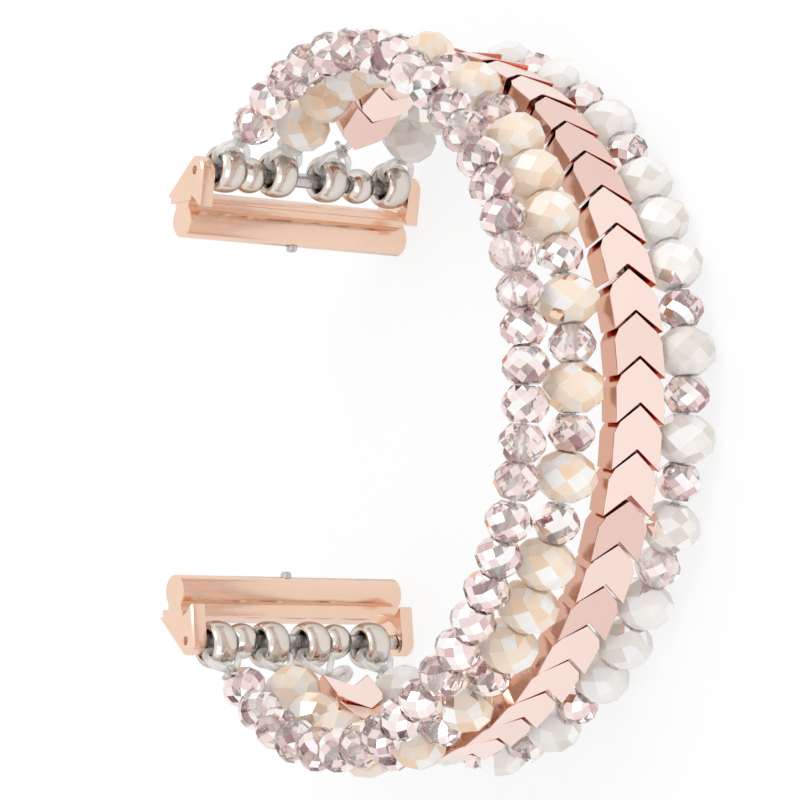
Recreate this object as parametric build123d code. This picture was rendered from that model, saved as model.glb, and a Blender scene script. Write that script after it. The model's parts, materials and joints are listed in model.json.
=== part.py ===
# A bead watch band: four strands of beads on elastic cords between two lug adapters.
# The band lies on its side. +Z runs along the spring bars, up through the strands, +Y from the
# bottom lug to the top lug, and +X from the watch to the far side of the wrist.
from build123d import *
from math import asin, cos, degrees, pi, radians, sin, sqrt, tan
import os

os.makedirs("parts", exist_ok=True)

# Watch case that the adapters fit, seen from the spring bar's axis
case_length = 44.0
case_end_radius = 5.3
case_mid_x = -3.2
slot_x = -2.6
bar_standoff = 1.8

# Lug adapter
band_width = 24.0
ear_thickness = 1.6
ear_boss_radius = 1.45
ear_root_back = 2.2
ear_root_front = 4.1
ear_edge = 0.2
boss_arc_start = 125.0
boss_arc_end = -5.0
tongue_thickness = 2.4
tongue_head_width = 3.8
tongue_head_depth = 1.2
tongue_bulge_radius = 1.7
tongue_depth = 3.1
tongue_end_inset = 0.2

# Spring bar
bar_diameter = 1.5
bar_bore = 1.1
bar_cap = 0.4
bar_end_play = 0.15
tip_diameter = 0.8
tip_collar_length = 1.6
tip_recess = 0.4
tip_clearance = 0.05
spring_end_play = 0.05
bar_spring_wall = 0.2

# Latch button in the tongue
latch_bore = 1.6
latch_lip = 0.3
latch_nose_diameter = 1.1
latch_head_length = 0.6
latch_projection = 0.55
latch_travel = 0.5
latch_depth = 2.5
latch_clearance = 0.05
latch_spring_wall = 0.25

# Beads on the bar
ring_diameter = 4.9
ring_hole = 2.6
ring_length = 2.75
ring_round = 0.45
ring_play = 0.05
ball_diameter = 3.7
ball_length = 2.8
ball_face_diameter = 2.4
ball_bore_clearance = 0.05
# Outline from face to middle: how far out towards the full diameter, how far up towards the face
ball_bulge_shares = ((0.6, 0.72), (1, 0.25))
# Gaps along the bar, from each ear inwards: ear to ring, ring to ball, ball to ring
top_upper_gaps = (0.4, 0.4, 0.4)
top_lower_gaps = (0.4, 1.15, 1.3)
bottom_upper_gaps = (0.4, 0.4, 0.4)
bottom_lower_gaps = (2.1, 1.35, 0.5)

# Strand beads
small_diameter = 4.5
small_length = 3.35
large_diameter = 6.0
large_length = 4.5
bead_sides = 8
bead_bore = 1.1
bead_lip_radius = 0.75
facet_turn = 37.0
chevron_width = 5.8
chevron_thickness = 2.2
chevron_arm = 3.9
chevron_rise = 2.0
chevron_shoulder = 0.6

# Room between beads, first on the gentle far side, then on the tight bends beside the lugs
mauve_gaps = (0.1, 0.16)
crystal_gaps = (0.12, 0.2)
chevron_gaps = (0.18, 0.3)
seam_gap = 0.5

# Lanes of the four strands at the lugs
chevron_lane = -3.0
mauve_lane_gap = 0.2
champagne_lane_gap = 1.05
white_lane_gap = 0.5

# Loop round the wrist. Its bends beside the lugs are a share of its half length.
near_radius_share = 0.319
start_angle = 47.0
first_bead_distance = 4.6
# Halvings in the search for the far arc's radius, which starts from some times its least size
search_steps = 60
search_reach_share = 20

# Elastic cord
cord_diameter = 0.6
cord_sides = 6
knot_distance = 3.75
fork_distance = 3.3
knot_diameter = 1.3
knot_lip_share = 0.4
loop_clearance = 0.05
loop_corner = 0.8
loop_shoulder_rise = 0.25
crimp_diameter = 2.8
crimp_length = 0.85
crimp_gap = 0.1
crimp_clearance = 0.04
crimp_sides = 8

overrun = 1.0

# Bead order of each strand from the top lug to the bottom lug, one word for each segment.
# m is a small mauve bead, c champagne, v chevron and w white.
strands = {
    "mauve": ("mmmm", "mmmmmm", "mmmmmm", "mmmmmm", "mmmmmm", "mmmmmm", "mmmm"),
    "champagne": ("ccc", "cmcmc", "mcccm", "cmcmc", "mcccm", "cmcmc", "ccc"),
    "chevron": ("vvv", "vvvvv", "vvvvv", "vvvvv", "vvvvv", "vvvvv", "vvv"),
    "white": ("www", "mwmwm", "wmwww", "mwmwm", "wmwww", "mwmwm", "www"),
}
segment_count = 7
tight_segments = (0, 1, 5, 6)
# The white strand's seams lie half a bead's difference up or down from the others'
white_seam_steps = (0, 1, -1, 1, -1, 0)

# Places that follow from the sizes
bar_y = case_length / 2 + bar_standoff
bar_radius = bar_diameter / 2
half_width = band_width / 2
ear_half = half_width + ear_thickness
ring_radius = ring_diameter / 2
ring_offset = ring_hole / 2 - bar_radius - ring_play
small_radius = small_diameter / 2
large_radius = large_diameter / 2
cord_radius = cord_diameter / 2

champagne_lane = chevron_lane + chevron_width / 2 + champagne_lane_gap + large_radius
mauve_lane = champagne_lane + large_radius + mauve_lane_gap + small_radius
white_lane = chevron_lane - chevron_width / 2 - white_lane_gap - large_radius
lanes = {"mauve": mauve_lane, "champagne": champagne_lane, "chevron": chevron_lane, "white": white_lane}

bead_lengths = {"m": small_length, "c": large_length, "w": large_length, "v": chevron_arm}


def bead_gap(kind, segment):
    """Least room between two beads of a strand, by how tightly the loop bends there."""
    gaps = {"mauve": mauve_gaps, "chevron": chevron_gaps}.get(kind, crystal_gaps)
    return gaps[1] if segment in tight_segments else gaps[0]


def seam_shift(kind, seam):
    """How far a strand's own seam lies from the hinge, towards the top lug."""
    if kind != "white" or seam < 0 or seam >= segment_count - 1:
        return 0.0
    return white_seam_steps[seam] * (large_length - small_length) / 2


def natural_length(kind, segment):
    """Room that a strand needs in one segment, with half a seam at each inner end."""
    word = strands[kind][segment]
    seams = 1 if segment in (0, segment_count - 1) else 2
    length = sum(bead_lengths[bead] for bead in word)
    length += (len(word) - 1) * bead_gap(kind, segment) + seams * seam_gap / 2
    if kind == "chevron" and seams == 1:
        length += chevron_rise / 2
    return length - seam_shift(kind, segment - 1) + seam_shift(kind, segment)


runs = [max(natural_length(kind, i) for kind in strands) for i in range(segment_count)]
half_length = sum(runs) / 2
# Distance of each segment's top end from the middle of the loop, towards the top lug
ends = [half_length - sum(runs[:i]) for i in range(segment_count + 1)]

# The loop is a far arc, an arc of near_radius at each lug and, in a long loop, straight sides.
near_radius = near_radius_share * half_length
aim = radians(start_angle)
start_x = first_bead_distance * cos(aim)
start_y = bar_y + first_bead_distance * sin(aim)
near_x = start_x + near_radius * sin(aim)
near_y = start_y - near_radius * cos(aim)


def far_arc(radius):
    """Half angle of the far arc and the loop's half length, for one far radius."""
    half_angle = asin(min(1, near_y / (radius - near_radius)))
    return half_angle, radius * half_angle + near_radius * (pi / 2 + aim - half_angle)


small_far = near_radius + near_y
large_far = small_far * search_reach_share
straight_run = max(0.0, half_length - far_arc(small_far)[1])
if straight_run > 0:
    far_radius = small_far
else:
    low, high = small_far, large_far
    for _ in range(search_steps):
        middle = (low + high) / 2
        if far_arc(middle)[1] > half_length:
            low = middle
        else:
            high = middle
    far_radius = high
far_angle = far_arc(far_radius)[0]
far_x = near_x - (far_radius - near_radius) * cos(far_angle) + straight_run


def loop_point(distance):
    """Point of the loop and direction towards the top lug, at a distance from its far middle."""
    s = abs(distance)
    far_end = far_radius * far_angle
    if s <= far_end:
        angle = s / far_radius
        x, y = far_x + far_radius * cos(angle), far_radius * sin(angle)
    elif s <= far_end + straight_run:
        angle = pi / 2
        x, y = far_x - (s - far_end), far_radius
    elif s <= half_length:
        angle = far_angle + (s - far_end - straight_run) / near_radius
        x, y = near_x + near_radius * cos(angle), near_y + near_radius * sin(angle)
    else:
        angle = pi / 2 + aim
        x = start_x - (s - half_length) * cos(aim)
        y = start_y - (s - half_length) * sin(aim)
    if distance < 0:
        return x, -y, 90 - degrees(angle)
    return x, y, 90 + degrees(angle)


far_reach = far_x + far_radius
# The strands slope down to the far side, so that the white beads there lie level with the ears
lie_angle = degrees(asin((ear_half + white_lane - large_radius) / far_reach))
horn_back_x = case_mid_x - ear_root_back
middle_x = (far_reach + large_radius + horn_back_x) / 2
place = Location((-middle_x, 0, ear_half))


def lane(kind):
    """Frame of one strand: its height at the lugs and its slope."""
    return Location((0, 0, lanes[kind])) * Location((0, 0, 0), (0, lie_angle, 0))


def seat(kind, distance, turn=0.0):
    """Where a bead sits on its strand, turned about the cord by some degrees."""
    x, y, heading = loop_point(distance)
    return lane(kind) * Location((x, y, 0), (0, 0, heading)) * Location((0, 0, 0), (turn, 0, 0))


def across(x):
    """Sketch plane square to the cord, at x along it."""
    return Plane(origin=(x, 0, 0), x_dir=(0, 1, 0), z_dir=(1, 0, 0))


def rod(radius, start, end):
    """Round rod along X."""
    return extrude(across(start) * Circle(radius), end - start)


def cord_bore(length):
    """Cutter for the cord's hole through a bead."""
    start = -length / 2 - overrun
    return extrude(across(start) * RegularPolygon(bead_bore / 2, cord_sides), length + 2 * overrun)


def polyhedron(loops):
    """Solid closed by flat faces, each given by its corners."""
    return Solid(Shell([Face(Wire.make_polygon(loop, close=True)) for loop in loops]))


def rondelle(diameter, length, lip):
    """Cut crystal: a row of diamond facets round the middle, and kites and triangles up to each lip."""
    edge, half, step = diameter / 2, length / 2, pi / bead_sides
    # The diamonds' height that makes every kite flat
    rise = half * edge * sin(step) ** 2 / (edge - lip)

    def corner(x, radius, turn):
        return (x, radius * cos(turn * step), radius * sin(turn * step))

    loops = []
    for i in range(0, 2 * bead_sides, 2):
        tips = [corner(end * rise, edge * cos(step), i + 1) for end in (1, -1)]
        loops.append([corner(0, edge, i), tips[0], corner(0, edge, i + 2), tips[1]])
        for end, tip in zip((1, -1), tips):
            before = corner(end * rise, edge * cos(step), i - 1)
            here, ahead = corner(end * half, lip, i), corner(end * half, lip, i + 2)
            loops.append([corner(0, edge, i), tip, here, before])
            loops.append([tip, ahead, here])
    for end in (1, -1):
        loops.append([corner(end * half, lip, i) for i in range(0, 2 * bead_sides, 2)])
    return polyhedron(loops)


def chevron():
    """Arrow-shaped bead whose point seats in the next one's notch, about the middle of its bore."""
    front, back, half, cut = chevron_arm / 2, -chevron_arm / 2, chevron_width / 2, chevron_shoulder
    right = [
        (front, 0),
        (front - chevron_rise * (half - cut) / half, half - cut),
        (front - chevron_rise - cut, half),
        (back - chevron_rise, half),
        (back, 0),
    ]
    left = [(x, -z) for x, z in right[3:0:-1]]
    flat = Plane(origin=(0, chevron_thickness / 2, 0), x_dir=(1, 0, 0), z_dir=(0, -1, 0))
    body = extrude(flat * Polygon(*right, *left, align=None), chevron_thickness)
    return body - cord_bore(chevron_arm + 2 * chevron_rise)


def bead_places(kind):
    """Segment, letter and distance from the far middle of each bead of a strand."""
    places = []
    for i, word in enumerate(strands[kind]):
        inner = seam_gap / 2
        top = ends[i] + seam_shift(kind, i - 1) - (inner if i else 0)
        foot = ends[i + 1] + seam_shift(kind, i) + (inner if i < segment_count - 1 else 0)
        solid_length = sum(bead_lengths[bead] for bead in word)
        gap = (top - foot - solid_length) / (len(word) - 1)
        # At the lugs the beads lie up against the inner seam
        if i in (0, segment_count - 1):
            gap = bead_gap(kind, i)
        if i == 0:
            top = foot + solid_length + gap * (len(word) - 1)
        for bead in word:
            places.append((i, bead, top - bead_lengths[bead] / 2))
            top -= bead_lengths[bead] + gap
    return places


def bore_lead(kind):
    """How far a bead's bore lies ahead of the bead's middle, towards the top lug."""
    return chevron_rise / 2 if kind == "chevron" else 0.0


def string_beads():
    """Beads of each segment, by colour."""
    small = rondelle(small_diameter, small_length, bead_lip_radius) - cord_bore(small_length)
    large = rondelle(large_diameter, large_length, bead_lip_radius) - cord_bore(large_length)
    shapes = {"m": small, "c": large, "w": large, "v": chevron()}
    laid = [{bead: [] for bead in "mcvw"} for _ in range(segment_count)]
    for kind in strands:
        for k, (i, bead, distance) in enumerate(bead_places(kind)):
            # Neighbours' facets don't line up
            turn = 0.0 if kind == "chevron" else k * facet_turn
            laid[i][bead].append(seat(kind, distance + bore_lead(kind), turn) * shapes[bead])
    return laid


def bar_places(upper, lower):
    """Heights on the bar of the four rings, by strand, and of the two balls."""
    ring_1 = half_width - upper[0] - ring_length / 2
    ball_1 = ring_1 - ring_length / 2 - upper[1] - ball_length / 2
    ring_2 = ball_1 - ball_length / 2 - upper[2] - ring_length / 2
    ring_4 = -half_width + lower[0] + ring_length / 2
    ball_2 = ring_4 + ring_length / 2 + lower[1] + ball_length / 2
    ring_3 = ball_2 + ball_length / 2 + lower[2] + ring_length / 2
    rings = {"mauve": ring_1, "champagne": ring_2, "chevron": ring_3, "white": ring_4}
    return rings, (ball_1, ball_2)


top_rings, top_balls = bar_places(top_upper_gaps, top_lower_gaps)
bottom_rings, bottom_balls = bar_places(bottom_upper_gaps, bottom_lower_gaps)


def ring_bead():
    """Large-hole bead with a rounded wall, about the Z axis."""
    wall = ring_radius - ring_hole / 2
    section = Rectangle(wall, ring_length)
    section = chamfer(section.vertices(), ring_round)
    return revolve(Plane.XZ * Pos(ring_radius - wall / 2, 0) * section, Axis.Z)


def spacer_ball():
    """Barrel-shaped spacer that spins on the bar, about the Z axis."""
    bore = bar_radius + ball_bore_clearance
    half, face, middle = ball_length / 2, ball_face_diameter / 2, ball_diameter / 2
    bulge = [(face + (middle - face) * out, half * up) for out, up in ball_bulge_shares]
    outline = [(bore, half), (face, half), *bulge, *[(r, -z) for r, z in reversed(bulge)], (face, -half), (bore, -half)]
    return revolve(Plane.XZ * make_face(Polyline(*outline, close=True)), Axis.Z)


def bar_frame(side):
    """Frame on the bar's axis at one lug, with X along the strands' start."""
    return Location((0, side * bar_y, 0), (0, 0, side * start_angle))


def flat_tube(points, normal):
    """Cord of flat facets along straight runs that lie in one plane, mitred where they meet."""
    spots = [Vector(*point) for point in points]
    normal = Vector(*normal)
    aims = [(b - a).normalized() for a, b in zip(spots, spots[1:])]
    rings = []
    for spot, before, after in zip(spots, [aims[0], *aims], [*aims, aims[-1]]):
        outward = (before + after).cross(normal).normalized()
        stretch = 1 / before.cross(normal).dot(outward)
        ring = []
        for i in range(cord_sides):
            turn = 2 * pi * i / cord_sides
            flat, up = cord_radius * cos(turn) * stretch, cord_radius * sin(turn)
            ring.append(spot + outward * flat + normal * up)
        rings.append(ring)
    loops = [rings[0], rings[-1]]
    for near, far in zip(rings, rings[1:]):
        for i in range(cord_sides):
            loops.append([near[i - 1], near[i], far[i], far[i - 1]])
    return polyhedron(loops)


def wall_leg(ring_z, knot, end):
    """Cord's route from the knot round one end of a ring's wall to the middle of its hole."""
    reach = ring_offset + ring_hole / 2 - loop_clearance - cord_radius
    wide = ring_length / 2 + loop_clearance + cord_radius
    shoulder = ring_offset + ring_radius + loop_shoulder_rise
    return (
        (knot.X, 0, knot.Z),
        (shoulder, 0, ring_z + end * (wide - loop_corner / 2)),
        (shoulder - loop_corner / 2, 0, ring_z + end * wide),
        (reach + loop_corner, 0, ring_z + end * wide),
        (reach, 0, ring_z + end * (wide - loop_corner)),
        (reach, 0, ring_z),
    )


def elastic_cord(kind, crimped):
    """One strand's cord: straight runs through the beads, and a loop and a knot at each ring."""
    distances = [distance for _, _, distance in bead_places(kind)]
    lengths = [bead_lengths[bead] for _, bead, _ in bead_places(kind)]
    # Under a crimp the cord forks closer to the ring
    reaches = {side: fork_distance if side in crimped else knot_distance for side in (1, -1)}
    lug_ends = {side: side * (half_length + first_bead_distance - reach) for side, reach in reaches.items()}
    mouth_gap = bead_gap(kind, 0) / 2
    bends = [distances[0] + lengths[0] / 2 + mouth_gap]
    for k in range(len(distances) - 1):
        upper, lower = distances[k] - lengths[k] / 2, distances[k + 1] + lengths[k + 1] / 2
        bends.append((upper + lower) / 2)
    bends.append(distances[-1] - lengths[-1] / 2 - mouth_gap)
    stations = [lug_ends[1], *[s + bore_lead(kind) for s in bends], lug_ends[-1]]
    cord = lane(kind) * flat_tube([(*loop_point(s)[:2], 0) for s in stations], (0, 0, 1))
    for side, rings in ((1, top_rings), (-1, bottom_rings)):
        frame = bar_frame(side)
        x, y, _ = loop_point(lug_ends[side])
        knot_at = (lane(kind) * Location((x, y, 0))).position
        local = (frame.inverse() * Location(knot_at)).position
        for end in (1, -1):
            cord += frame * flat_tube(wall_leg(rings[kind], local, end), (0, 1, 0))
        if side not in crimped:
            knot = rondelle(knot_diameter, knot_diameter, knot_diameter * knot_lip_share)
            cord += Location(knot_at) * knot
    return cord


def crimp_bead(kind, side):
    """Clear bead that grips the cord's end beside the first strand bead."""
    segment, bead, distance = bead_places(kind)[0 if side > 0 else -1]
    bead_end = distance + side * (bead_lengths[bead] / 2 + bore_lead(kind))
    bore = cord_radius + crimp_clearance
    crimp = extrude(across(-crimp_length / 2) * RegularPolygon(crimp_diameter / 2, crimp_sides), crimp_length)
    crimp = chamfer(crimp.edges().filter_by(GeomType.LINE).group_by(Axis.X)[0], crimp_length / 4)
    crimp = chamfer(crimp.edges().group_by(Axis.X)[-1], crimp_length / 4)
    crimp -= rod(bore, -crimp_length, crimp_length)
    return seat(kind, bead_end + side * (crimp_gap + crimp_length / 2)) * crimp


def lug_adapter():
    """Top adapter: tongue for the case's slot and two ears that hold the spring bar."""
    case_y = case_length / 2 - case_end_radius
    head_y = case_y + sqrt(case_end_radius**2 - (slot_x - case_mid_x) ** 2)
    case_disc = Pos(case_mid_x, case_y) * Circle(case_end_radius)
    head = Pos(slot_x, head_y - tongue_head_depth / 2) * Rectangle(tongue_head_width, tongue_head_depth)
    head += Pos(slot_x, head_y) * Rectangle(tongue_head_width, tongue_head_depth)
    stem = Pos(slot_x, head_y - tongue_depth / 2) * Rectangle(tongue_thickness, tongue_depth)
    bulge = Pos(slot_x, head_y - tongue_depth) * Circle(tongue_bulge_radius)
    tongue = (head + stem + bulge) & case_disc
    tongue_half = ear_half - tongue_end_inset
    body = extrude(Plane.XY.offset(-tongue_half) * tongue, 2 * tongue_half)

    boss = (0, bar_y)

    def on_boss(angle):
        return (
            boss[0] + ear_boss_radius * cos(radians(angle)),
            boss[1] + ear_boss_radius * sin(radians(angle)),
        )

    back_x, front_x = case_mid_x - ear_root_back, case_mid_x + ear_root_front
    back_y = case_y + sqrt(case_end_radius**2 - ear_root_back**2)
    front_y = case_y + sqrt(case_end_radius**2 - ear_root_front**2)
    top_x, top_y = on_boss(boss_arc_start)
    outline = Line((back_x, back_y), (top_x, top_y))
    outline += ThreePointArc(
        on_boss(boss_arc_start), on_boss((boss_arc_start + boss_arc_end) / 2), on_boss(boss_arc_end)
    )
    outline += Line(on_boss(boss_arc_end), (front_x, front_y))
    outline += Line((front_x, front_y), (case_mid_x, case_y))
    outline += Line((case_mid_x, case_y), (back_x, back_y))
    ear_face = make_face(outline) - (case_disc - head)
    for base in (half_width, -ear_half):
        ear = extrude(Plane.XY.offset(base) * ear_face, ear_thickness)
        outer = Axis.Z if base > 0 else -Axis.Z
        rim = ear.faces().sort_by(outer)[-1]
        centre = Vector(case_mid_x, case_y, rim.center().Z)
        clear = case_end_radius + ear_edge
        ear = chamfer([e for e in rim.edges() if ((e @ (1 / 2)) - centre).length > clear], ear_edge)
        body += ear
    hole = tip_diameter / 2 + tip_clearance
    body -= Pos(0, bar_y) * Cylinder(hole, 2 * (ear_half + overrun))
    latch_y = latch_mouth_y()
    body -= latch_cut(latch_bore / 2, latch_y + latch_lip, latch_y + latch_depth)
    body -= latch_cut(latch_nose_diameter / 2 + latch_clearance, latch_y - overrun, latch_y + latch_depth)
    return body


def latch_mouth_y():
    """Innermost point of the tongue, where the latch button comes out."""
    case_y = case_length / 2 - case_end_radius
    head_y = case_y + sqrt(case_end_radius**2 - (slot_x - case_mid_x) ** 2)
    return head_y - tongue_depth - tongue_bulge_radius


def latch_cut(radius, start_y, end_y):
    """Round rod along Y in the middle of the tongue."""
    base = Plane(origin=(slot_x, start_y, 0), z_dir=(0, 1, 0))
    return extrude(base * Circle(radius), end_y - start_y)


def latch_button():
    """Button with a domed nose, held in by the pocket's lip."""
    mouth = latch_mouth_y()
    seat_y = mouth + latch_lip + latch_clearance
    nose = latch_nose_diameter / 2
    button = latch_cut(latch_bore / 2 - latch_clearance, seat_y, seat_y + latch_head_length)
    button += latch_cut(nose, mouth - latch_projection + nose / 2, seat_y)
    dome = latch_cut(nose, mouth - latch_projection, mouth - latch_projection + nose / 2)
    return button + chamfer(dome.edges().sort_by(Axis.Y)[0], nose / 3)


def latch_spring():
    """Spring behind the button."""
    start = latch_mouth_y() + latch_lip + latch_clearance + latch_head_length + spring_end_play
    end = latch_mouth_y() + latch_depth - spring_end_play
    outer = latch_bore / 2 - latch_clearance
    return latch_cut(outer, start, end) - latch_cut(outer - latch_spring_wall, start, end)


def bar_rod(radius, low, high):
    """Round rod on the top bar's axis."""
    return Pos(0, bar_y, (low + high) / 2) * Cylinder(radius, high - low)


def bar_tube():
    """Spring bar's tube, closed in at both ends round the tips."""
    half = half_width - bar_end_play
    body = bar_rod(bar_radius, -half, half)
    body -= bar_rod(bar_bore / 2, -half + bar_cap, half - bar_cap)
    return body - bar_rod(tip_diameter / 2 + tip_clearance, -half - overrun, half + overrun)


def bar_tip():
    """Upper sliding tip: a collar inside the tube and a pin out into the ear."""
    shoulder = half_width - bar_end_play - bar_cap
    collar = bar_rod(bar_bore / 2 - tip_clearance, shoulder - tip_collar_length, shoulder)
    return collar + bar_rod(tip_diameter / 2, shoulder, ear_half - tip_recess)


def bar_spring():
    """Spring between the two tips' collars."""
    half = half_width - bar_end_play - bar_cap - tip_collar_length - spring_end_play
    outer = bar_bore / 2 - tip_clearance
    return bar_rod(outer, -half, half) - bar_rod(outer - bar_spring_wall, -half, half)


def write(name, shape):
    """Move a sub-part into the part's own frame and write it."""
    export_step(place * shape, "parts/" + name + ".step")


bead_names = {"m": "mauve_beads", "c": "champagne_beads", "v": "chevron_beads", "w": "white_beads"}
for number, colours in enumerate(string_beads(), start=1):
    for bead, solids in colours.items():
        if solids:
            write(f"{bead_names[bead]}_{number}", Compound(solids))

crimps = {"champagne": (1,), "chevron": (-1,)}
for kind in strands:
    write(f"elastic_cord_{kind}", elastic_cord(kind, crimps.get(kind, ())))

upright = {"adapter": lug_adapter(), "bar_tube": bar_tube(), "bar_spring": bar_spring()}
upright.update(bar_tip_upper=bar_tip(), bar_tip_lower=mirror(bar_tip(), Plane.XY))
upright.update(latch_button=latch_button(), latch_spring=latch_spring())
for end, side, rings, balls in (("top", 1, top_rings, top_balls), ("bottom", -1, bottom_rings, bottom_balls)):
    for name, shape in upright.items():
        write(f"{end}_{name}", shape if side > 0 else mirror(shape, Plane.XZ))
    frame = bar_frame(side)
    ring, ball = ring_bead(), spacer_ball()
    write(f"{end}_ring_beads", Compound([frame * Pos(ring_offset, 0, z) * ring for z in rings.values()]))
    for number, z in enumerate(balls, start=1):
        write(f"{end}_spacer_ball_{number}", frame * Pos(0, 0, z) * ball)
for kind, sides in crimps.items():
    for side in sides:
        write("top_crimp_bead" if side > 0 else "bottom_crimp_bead", crimp_bead(kind, side))

print("loop half length", round(half_length, 3), "far radius", round(far_radius, 3))
print("far reach", round(far_reach, 3), "straight", round(straight_run, 3), "lie", round(lie_angle, 3))
for number in range(1, segment_count):
    x, y, _ = loop_point(ends[number])
    print("seam", number, round(x - middle_x, 4), round(y, 4))
print("bar", round(-middle_x, 4), round(bar_y, 4), "floor to bar middle", ear_half)
print("lanes", {kind: round(z + ear_half, 3) for kind, z in lanes.items()})
print("latch", round(slot_x - middle_x, 4), round(latch_mouth_y(), 4))
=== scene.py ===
import json
import math
import bpy
import bmesh
import numpy as np
from mathutils import Matrix, Vector


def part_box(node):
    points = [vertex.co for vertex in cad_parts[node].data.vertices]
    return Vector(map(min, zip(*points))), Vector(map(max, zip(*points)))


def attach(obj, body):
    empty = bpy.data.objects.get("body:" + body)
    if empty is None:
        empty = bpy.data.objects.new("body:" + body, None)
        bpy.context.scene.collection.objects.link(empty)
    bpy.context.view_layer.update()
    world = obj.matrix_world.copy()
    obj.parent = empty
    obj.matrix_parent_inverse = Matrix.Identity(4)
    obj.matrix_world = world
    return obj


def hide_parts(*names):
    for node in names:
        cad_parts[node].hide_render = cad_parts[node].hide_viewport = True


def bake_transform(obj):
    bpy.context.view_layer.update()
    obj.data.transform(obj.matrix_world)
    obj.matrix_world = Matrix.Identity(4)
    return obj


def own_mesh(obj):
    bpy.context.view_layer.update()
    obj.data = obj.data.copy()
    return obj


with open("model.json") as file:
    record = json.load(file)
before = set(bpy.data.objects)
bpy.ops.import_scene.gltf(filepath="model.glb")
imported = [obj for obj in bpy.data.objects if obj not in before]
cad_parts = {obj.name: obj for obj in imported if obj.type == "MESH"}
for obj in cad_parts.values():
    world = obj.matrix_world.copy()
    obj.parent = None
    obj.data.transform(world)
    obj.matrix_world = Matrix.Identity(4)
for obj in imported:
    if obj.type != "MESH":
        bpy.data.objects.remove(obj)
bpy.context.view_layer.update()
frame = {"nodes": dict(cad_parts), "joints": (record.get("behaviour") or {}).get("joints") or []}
scene = bpy.context.scene
mm = 0.001
weldDistance = 0.002 * mm       # joins the loose triangles of a CAD node
ends = ("top", "bottom")
spans = ("span_top_lug", "span_top_near", "span_top_far", "span_far",
         "span_bottom_far", "span_bottom_near", "span_bottom_lug")


# Camera

cameraPlace = {
    "turn": 35.077,         # degrees round the spring bar's line
    "lift": -3.543,
    "roll": 0.865,
    "distance": 350 * mm,   # to the plane through the bars
    "frame": 800,           # pixels along each side of the picture
    "scale": 9691,          # pixels for each metre in that plane
    "barsAt": (302.638, 410.523),   # pixel of the point midway between the two bars
    "nearest": 10 * mm,     # closer than this isn't drawn
}


def setCamera(place):
    turn, lift, roll = (math.radians(place[name]) for name in ("turn", "lift", "roll"))
    back = Vector((math.cos(turn) * math.cos(lift), math.sin(lift), math.sin(turn) * math.cos(lift)))
    flat = Vector((math.sin(turn), 0, -math.cos(turn)))
    rise = back.cross(flat)
    right = flat * math.cos(roll) + rise * math.sin(roll)
    up = rise * math.cos(roll) - flat * math.sin(roll)
    across, down = ((pixel - place["frame"] / 2) / place["scale"] for pixel in place["barsAt"])
    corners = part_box("top_bar_tube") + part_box("bottom_bar_tube")
    middle = sum(corners, Vector()) / 4
    eye = middle + back * place["distance"] - right * across + up * down
    data = bpy.data.cameras.new("camera")
    data.lens = place["scale"] * place["distance"] / place["frame"] * data.sensor_width
    data.clip_start = place["nearest"]
    camera = bpy.data.objects.new("camera", data)
    scene.collection.objects.link(camera)
    camera.matrix_world = Matrix.Translation(eye) @ Matrix((right, up, back)).transposed().to_4x4()
    scene.camera = camera


setCamera(cameraPlace)


# Materials

def tint(red, green, blue):
    # An 8 bit screen colour as the shader wants it
    return tuple((v / 255 / 12.92 if v <= 10 else ((v / 255 + 0.055) / 1.055) ** 2.4)
                 for v in (red, green, blue)) + (1,)


def newMaterial(name, **sockets):
    material = bpy.data.materials.new(name)
    material.use_nodes = True
    shader = material.node_tree.nodes["Principled BSDF"]
    for socket, value in sockets.items():
        shader.inputs[socket.replace("_", " ")].default_value = value
    return material, material.node_tree, shader


def attributeRamp(tree, attribute, stops):
    # Colours or shades in steps that follow a stored attribute
    source = tree.nodes.new("ShaderNodeAttribute")
    source.attribute_name = attribute
    return rampFrom(tree, source.outputs["Fac"], stops, smooth=False)


def rampFrom(tree, source, stops, smooth=True):
    ramp = tree.nodes.new("ShaderNodeValToRGB")
    ramp.color_ramp.interpolation = "LINEAR" if smooth else "CONSTANT"
    while len(ramp.color_ramp.elements) < len(stops):
        ramp.color_ramp.elements.new(0.5)
    for element, (place, colour) in zip(ramp.color_ramp.elements, stops):
        element.position = place
        element.color = colour if isinstance(colour, tuple) else (colour, colour, colour, 1)
    tree.links.new(source, ramp.inputs["Fac"])
    return ramp.outputs["Color"]


def mixColours(tree, factor, first, second):
    mix = tree.nodes.new("ShaderNodeMix")
    mix.data_type = "RGBA"
    for socket, value in ((0, factor), (6, first), (7, second)):
        if isinstance(value, (int, float, tuple)):
            mix.inputs[socket].default_value = value
        else:
            tree.links.new(value, mix.inputs[socket])
    return mix.outputs[2]


def noise(tree, scale, detail=2.0, stretch=(1, 1, 1)):
    place = tree.nodes.new("ShaderNodeTexCoord")
    mapping = tree.nodes.new("ShaderNodeMapping")
    mapping.inputs["Scale"].default_value = stretch
    texture = tree.nodes.new("ShaderNodeTexNoise")
    texture.inputs["Scale"].default_value = scale
    texture.inputs["Detail"].default_value = detail
    tree.links.new(place.outputs["Object"], mapping.inputs["Vector"])
    tree.links.new(mapping.outputs["Vector"], texture.inputs["Vector"])
    return texture.outputs["Fac"]


def bumpFrom(tree, shader, height, depth, strength):
    bump = tree.nodes.new("ShaderNodeBump")
    bump.inputs["Distance"].default_value = depth
    bump.inputs["Strength"].default_value = strength
    tree.links.new(height, bump.inputs["Height"])
    tree.links.new(bump.outputs["Normal"], shader.inputs["Normal"])


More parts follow.
